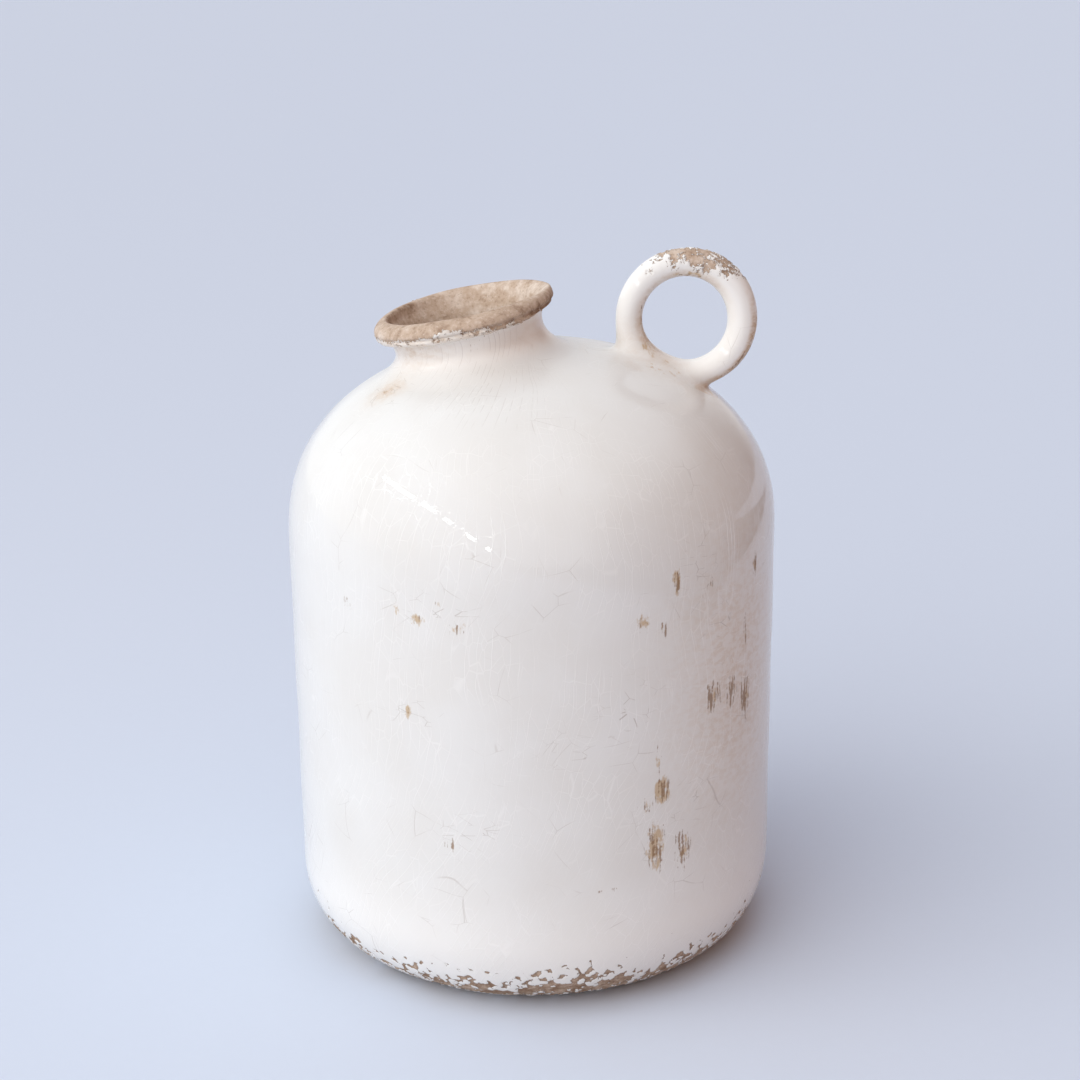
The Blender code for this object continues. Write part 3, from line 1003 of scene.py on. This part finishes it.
def flow_lines(tree, place, spacing, width):
    """Long hairlines that run up the wall in slow curves."""
    parts = parts_of(tree, place)
    turn = calc(tree, "ARCTAN2", parts["X"], times(tree, parts["Y"], -1))
    drop = calc(tree, "MAXIMUM", calc(tree, "SUBTRACT", 0.125, parts["Z"]), 0)
    lean = times(tree, times(tree, drop, drop), 3.8)
    slow = times_add(tree, noise(tree, place, 0.06, detail=1), 0.024, lean)
    quick = times_add(tree, noise(tree, place, 0.014, detail=1), 0.003, slow)
    around = times_add(tree, turn, BODY_RADIUS, quick)
    inputs = {"W": around, "Scale": 1 / spacing, "Randomness": 1}
    kind = {"voronoi_dimensions": "1D", "feature": "DISTANCE_TO_EDGE"}
    cell = node(tree, "ShaderNodeTexVoronoi", inputs, **kind).outputs[0]
    below = ramp(tree, parts["Z"], 0.155, 0.195, 1, 0.3)
    return times(tree, ramp(tree, cell, 0, width / spacing, 1, 0), below)


def bent_place(tree, place):
    """The place shifted by slow noise, so that lines between cells bend."""
    inputs = {"Vector": place, "Scale": 1 / WARP_SIZE, "Detail": 1}
    warp = node(tree, "ShaderNodeTexNoise", inputs).outputs["Color"]
    shift = {0: warp, 1: (WARP_SHIFT,) * 3, 2: place}
    return node(tree, "ShaderNodeVectorMath", shift, operation="MULTIPLY_ADD").outputs[0]


def pale_lines(tree, place, bent, low):
    """A net of hairlines, long ones up the wall, and close ones where the craze mark is above zero."""
    uneven = ramp(tree, noise(tree, place, UNEVEN_SIZE), 0.38, 0.64, 0.18, 1)
    net = times(tree, cell_lines(tree, bent, *NET, 2.2), 0.48)
    either = calc(tree, "MAXIMUM", net, flow_lines(tree, place, *FLOW))
    pale = times(tree, either, uneven)
    ladder = times(tree, flow_lines(tree, place, *LADDER), attribute(tree, "craze"))
    return calc(tree, "MAXIMUM", times(tree, pale, low), ladder)


def dark_lines(tree, place, bent, low):
    """Broken cracks, strokes in scratched places, and fine drips where the craze mark is below zero."""
    broken = ramp(tree, noise(tree, place, BREAK_SIZE), 0.55, 0.67)
    cracks = times(tree, cell_lines(tree, bent, *CRACK, 0.8), broken)
    strokes = ramp(tree, noise(tree, place, STROKE_SIZE, detail=1), 0.5, 0.58)
    scratch = times(tree, cell_lines(tree, bent, *SCRATCH, 0.45), attribute(tree, "scratch"))
    dark = times_add(tree, scratch, strokes, times(tree, cracks, low))
    upright = stretch(tree, place, 1, 1, 0.2)
    few = ramp(tree, noise(tree, upright, DRIP_BREAK_SIZE, detail=1), 0.4, 0.6, 0, -1)
    drip = times(tree, flow_lines(tree, place, *DRIP), attribute(tree, "craze"))
    return calc(tree, "ADD", dark, calc(tree, "MAXIMUM", times(tree, drip, few), 0))


def crackle(tree, place):
    """Pale and dark hairlines. The net and the cracks end below the ring and the lip."""
    bent = bent_place(tree, place)
    low = ramp(tree, height_of(tree, place), *CRACKLE_TOP, 1, 0)
    return pale_lines(tree, place, bent, low), dark_lines(tree, place, bent, low)


def glaze_colour(tree, place, pale, dark):
    """Warm white with slight clouds, painted whiter where it stands in for light (painted light), with
    stains, painted warm shade and hairlines.
    """
    cloud = noise(tree, place, CLOUD_SIZE, detail=3)
    cloudy = mix(tree, ramp(tree, cloud, 0.35, 0.7), GLAZE, GLAZE_SHADE)
    cloudy = mix(tree, attribute(tree, "pool"), cloudy, GLAZE_PAINTED_LIGHT)
    flat = stretch(tree, place, 1, 1, 1.8)
    blotch = ramp(tree, noise(tree, flat, BLOTCH_SIZE, detail=5, roughness=0.65), 0.4, 0.64, 0.5, 1)
    # Real stains and painted shade alike, broken into blotches
    stain = times(tree, attribute(tree, "stain"), blotch)
    stained = mix(tree, stain, cloudy, STAIN_AND_PAINTED_SHADE)
    lined = mix(tree, times(tree, pale, PALE_SHARE), stained, CRACK_PALE)
    return mix(tree, times(tree, dark, DARK_SHARE), lined, CRACK_DARK)


def clay_colour(tree, place):
    """Fired clay from cream through tan to brown, mottled and flecked."""
    mottle = noise(tree, place, MOTTLE_SIZE, detail=5, roughness=0.65)
    tone = calc(tree, "ADD", attribute(tree, "tone"), times_add(tree, mottle, 1.5, -0.75))
    pale = mix(tree, ramp(tree, tone, 0.05, 0.5), CLAY_CREAM, CLAY_TAN)
    clay = mix(tree, ramp(tree, tone, 0.45, 0.95), pale, CLAY_BROWN)
    fleck = noise(tree, place, FLECK_SIZE, detail=3, roughness=0.6)
    clay = mix(tree, ramp(tree, fleck, 0.54, 0.68, 0, 0.4), clay, CLAY_CREAM)
    return mix(tree, ramp(tree, fleck, 0.44, 0.32, 0, 0.35), clay, CLAY_BROWN)


def scuffs(tree, place):
    """Where the wall is rubbed: fine upright brown lines, and a tan fill in the deepest places."""
    thread = noise(tree, stretch(tree, place, 1, 1, 0.1), THREAD_SIZE)
    dots = noise(tree, place, DOT_SIZE)
    grain = times_add(tree, thread, 4.2, times_add(tree, dots, 2, -3.6))
    lines = calc(tree, "ADD", grain, attribute(tree, "streak"))
    speck = noise(tree, stretch(tree, place, 1, 1, 0.5), SPECK_SIZE, detail=4, roughness=0.65)
    fill = times_add(tree, speck, 4, calc(tree, "ADD", attribute(tree, "scuff"), -2.35))
    return ramp(tree, lines, 0, 0.6), ramp(tree, fill, 0, 0.6)


def make_stoneware(name):
    """Glaze over clay: which one shows is set by the piece's own marks."""
    material = bpy.data.materials.new(name)
    material.use_nodes = True
    tree = material.node_tree
    place = node(tree, "ShaderNodeTexCoord").outputs["Object"]
    field = bare_field(tree, place, attribute(tree, "chip"))
    bare = ramp(tree, field, 0, CHIP_EDGE)
    pale, dark = crackle(tree, place)
    lines, fill = scuffs(tree, place)
    glazed = glaze_colour(tree, place, pale, dark)
    glazed = mix(tree, times(tree, fill, FILL_SHARE), glazed, SCUFF_FILL)
    glazed = mix(tree, times(tree, lines, LINE_SHARE), glazed, SCUFF_LINE)
    rim = times(tree, ramp(tree, field, -0.06, 0.02), ramp(tree, field, 0.05, 0.4, 1, 0))
    colour = mix(tree, bare, glazed, clay_colour(tree, place))
    colour = mix(tree, times(tree, rim, RIM_SHARE), colour, CHIP_RIM)
    scuffed = calc(tree, "MAXIMUM", fill, lines)
    shader = tree.nodes["Principled BSDF"]
    tree.links.new(colour, shader.inputs["Base Color"])
    tree.links.new(surface_gloss(tree, bare, scuffed), shader.inputs["Roughness"])
    tree.links.new(surface_relief(tree, place, bare, pale, dark), shader.inputs["Normal"])
    shader.inputs["IOR"].default_value = GLAZE_INDEX
    return material


def surface_gloss(tree, bare, scuffed):
    """Glossy glaze, duller round the neck and where it is rubbed, and matt clay."""
    worn = calc(tree, "MAXIMUM", bare, times(tree, scuffed, 0.6))
    dull = times(tree, attribute(tree, "dull"), DULL_ROUGHNESS)
    return calc(tree, "MAXIMUM", ramp(tree, worn, 0, 1, GLAZE_ROUGHNESS, CLAY_ROUGHNESS), dull)


def surface_relief(tree, place, bare, pale, dark):
    """Hairline grooves, chip edges, clay grain and the faint ripple of the glaze."""
    grain = times(tree, noise(tree, place, GRAIN_SIZE, detail=4, roughness=0.7), bare)
    ripple = times(tree, noise(tree, place, RIPPLE_SIZE, detail=1), 0.25)
    level = ripple
    for part, rise in ((pale, 0.35), (dark, -0.15), (bare, -0.7), (grain, 0.8)):
        level = times_add(tree, part, rise, level)
    inputs = {"Height": level, "Strength": RELIEF_STRENGTH, "Distance": RELIEF_DEPTH}
    return node(tree, "ShaderNodeBump", inputs).outputs[0]


# Studio


def aimed(place, target, along):
    """A matrix at a place, looking down its own -Z at a target, with its X along a direction."""
    back = (Vector(place) - Vector(target)).normalized()
    side = (Vector(along) - back * back.dot(Vector(along))).normalized()
    turned = Matrix((side, back.cross(side), back)).transposed()
    return Matrix.Translation(place) @ turned.to_4x4()


def area_light(name, place, target, along, size, radiance):
    light = bpy.data.lights.new(name, "AREA")
    light.shape = "RECTANGLE"
    light.size, light.size_y = size
    light.energy = radiance * pi * size[0] * size[1]
    add_object(name, light).matrix_world = aimed(place, target, along)


def heading(round_, up):
    """A direction from degrees round from the front and degrees up."""
    turn, rise = radians(round_), radians(up)
    return Vector((sin(turn) * cos(rise), -cos(turn) * cos(rise), sin(rise)))


def make_dashes():
    for number, ends in enumerate(DASHES):
        first, last = [Vector(DASH_POINT) + DASH_DISTANCE * heading(*end) for end in ends]
        size = ((last - first).length, DASH_WIDTH)
        area_light(f"dash_{number}", (first + last) / 2, DASH_POINT, last - first, size, DASH_RADIANCE)
    for number, place in enumerate(GLINTS):
        lamp = Vector(GLINT_POINT) + DASH_DISTANCE * heading(*place)
        area_light(f"glint_{number}", lamp, GLINT_POINT, (0, 0, 1), (GLINT_SIZE, GLINT_SIZE), DASH_RADIANCE)


def make_world():
    """Soft light from all round: a wide window, a pale room and a warm dim side."""
    world = bpy.data.worlds.new("studio")
    bpy.context.scene.world = world
    world.use_nodes = True
    tree = world.node_tree
    direction = node(tree, "ShaderNodeTexCoord").outputs["Generated"]
    parts = parts_of(tree, direction)
    room = mix(tree, ramp(tree, parts["X"], -0.55, 0.48), ROOM_LEFT, ROOM_RIGHT)
    dimmer = ramp(tree, parts["X"], 0.1, 0.7, 1, 0.4)
    overhead = times(tree, ramp(tree, parts["Z"], 0.45, 0.95), dimmer)
    room = mix(tree, overhead, room, CEILING)
    facing = {0: direction, 1: heading(*WINDOW_HEADING)}
    window = node(tree, "ShaderNodeVectorMath", facing, operation="DOT_PRODUCT").outputs["Value"]
    lit = mix(tree, ramp(tree, window, cos(WINDOW_EDGE), cos(WINDOW_CORE)), room, WINDOW)
    path = node(tree, "ShaderNodeLightPath").outputs
    shown = mix(tree, path["Is Glossy Ray"], lit, mirrored_room(tree, parts))
    seen = mix(tree, path["Is Camera Ray"], shown, BACKDROP)
    tree.links.new(seen, tree.nodes["Background"].inputs["Color"])


def mirrored_room(tree, parts):
    """What the gloss shows: a pale sheet behind and above, a dimmer front and a brown right side."""
    pale = mix(tree, ramp(tree, parts["Y"], 0.12, 0.22), MIRROR_FRONT, MIRROR_BACK)
    pale = mix(tree, ramp(tree, parts["Z"], 0.55, 0.85), pale, MIRROR_HIGH)
    level = ramp(tree, parts["Z"], 0.4, 0.7, 1, 0)
    brown = times(tree, ramp(tree, parts["X"], 0.34, 0.68), level)
    return mix(tree, brown, pale, MIRROR_BROWN)


def make_paper():
    """Plain paper. In gloss, the room's floor shows beyond the paper's right edge."""
    material = bpy.data.materials.new("paper")
    material.use_nodes = True
    tree = material.node_tree
    place = node(tree, "ShaderNodeTexCoord").outputs["Object"]
    parts = parts_of(tree, place)
    edge = times_add(tree, parts["Y"], PAPER_EDGE_SLOPE, parts["X"])
    right = calc(tree, "GREATER_THAN", edge, PAPER_EDGE)
    beyond = times(tree, right, calc(tree, "LESS_THAN", parts["Y"], PAPER_BACK))
    glossy = node(tree, "ShaderNodeLightPath").outputs["Is Glossy Ray"]
    fibre = mix(tree, noise(tree, place, 0.004, detail=3), PAPER, tuple(0.985 * part for part in PAPER))
    colour = mix(tree, times(tree, beyond, glossy), fibre, ROOM_FLOOR)
    shader = tree.nodes["Principled BSDF"]
    tree.links.new(colour, shader.inputs["Base Color"])
    shader.inputs["Roughness"].default_value = 0.9
    shader.inputs["Specular IOR Level"].default_value = 0.1
    return material


def make_ground():
    corners = GROUND_REACH * np.array([[-1, -1, 0], [1, -1, 0], [1, 1, 0], [-1, 1, 0]])
    ground = new_piece("ground", corners, [(0, 1, 2, 3)])
    ground.data.materials.append(make_paper())


def make_camera():
    data = bpy.data.cameras.new("camera")
    data.sensor_width = CAMERA_SENSOR
    data.lens = CAMERA_LENS
    right = Vector(CAMERA_RIGHT).normalized()
    back = right.cross(Vector(CAMERA_UP)).normalized()
    turned = Matrix((right, back.cross(right), back)).transposed()
    camera = add_object("camera", data)
    camera.matrix_world = Matrix.Translation(CAMERA_PLACE) @ turned.to_4x4()
    bpy.context.scene.camera = camera


# Putting it together


def dress(piece, material, chips):
    """Makes a piece uneven, sinks its chips and gives it its finish."""
    hand_made(piece)
    piece.modifiers.new("Chips", "NODES").node_group = chips
    apply_modifiers(piece)
    piece.data.materials.clear()
    piece.data.materials.append(material)
    piece.data.shade_smooth()
    piece.data.set_sharp_from_angle(angle=radians(55))


def main():
    glazed = make_stoneware("crackle_glaze")
    clay = make_stoneware("bare_clay")
    chips = chip_nodes()
    pieces = (
        (make_body, mark_body, glazed, "glaze", ("body_wall",)),
        (make_floor, mark_floor, clay, "bare_clay", ("floor_disc",)),
        (make_neck, mark_neck, glazed, "glaze", ("neck_collar", "neck_coil")),
        (make_lip, mark_lip, clay, "bare_clay", ("rim_roll",)),
        (make_ring, mark_ring, glazed, "glaze", ("handle_ring", "handle_saddle")),
    )
    for make, marks, material, slot, nodes in pieces:
        piece = make()
        marks(piece)
        dress(piece, material, chips)
        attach(piece, "root")
        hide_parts(*nodes)
    make_ground()
    make_dashes()
    make_world()
    make_camera()
    bpy.context.scene.view_settings.view_transform = "Standard"


main()
